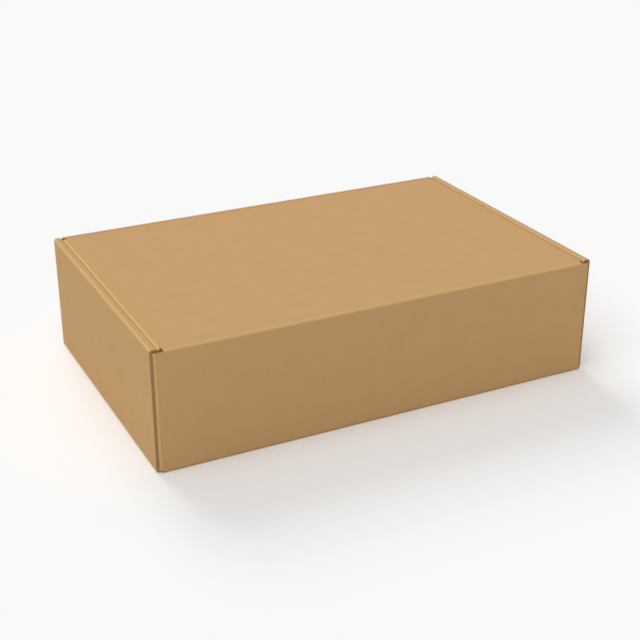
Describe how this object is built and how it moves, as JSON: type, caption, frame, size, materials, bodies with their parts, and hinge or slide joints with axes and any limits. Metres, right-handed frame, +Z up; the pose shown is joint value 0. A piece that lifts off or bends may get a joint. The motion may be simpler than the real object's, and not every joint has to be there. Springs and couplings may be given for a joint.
{
  "type": "cardboard mailing box",
  "caption": "Long, low mailing box folded from one sheet of brown corrugated board, shut, with roll-over end walls and a lid hinged on a long wall.",
  "frame": {"origin": "on the table, under the middle of the shut box", "axes": "+X along the box, +Y from the hinge wall to the tuck wall, +Z up"},
  "size_m": [0.31, 0.2, 0.0813],
  "materials": {
    "board": "matt brown kraft"
  },
  "bodies": {
    "tray": {"base": "board"},
    "lid": {"lid": "board"}
  },
  "joints": [
    {"name": "lid_hinge", "type": "hinge", "parent": "tray", "child": "lid", "pos_m": [0, -0.09961, 0.08031], "axis": [1, 0, 0], "range_deg": [0, 180]}
  ]
}
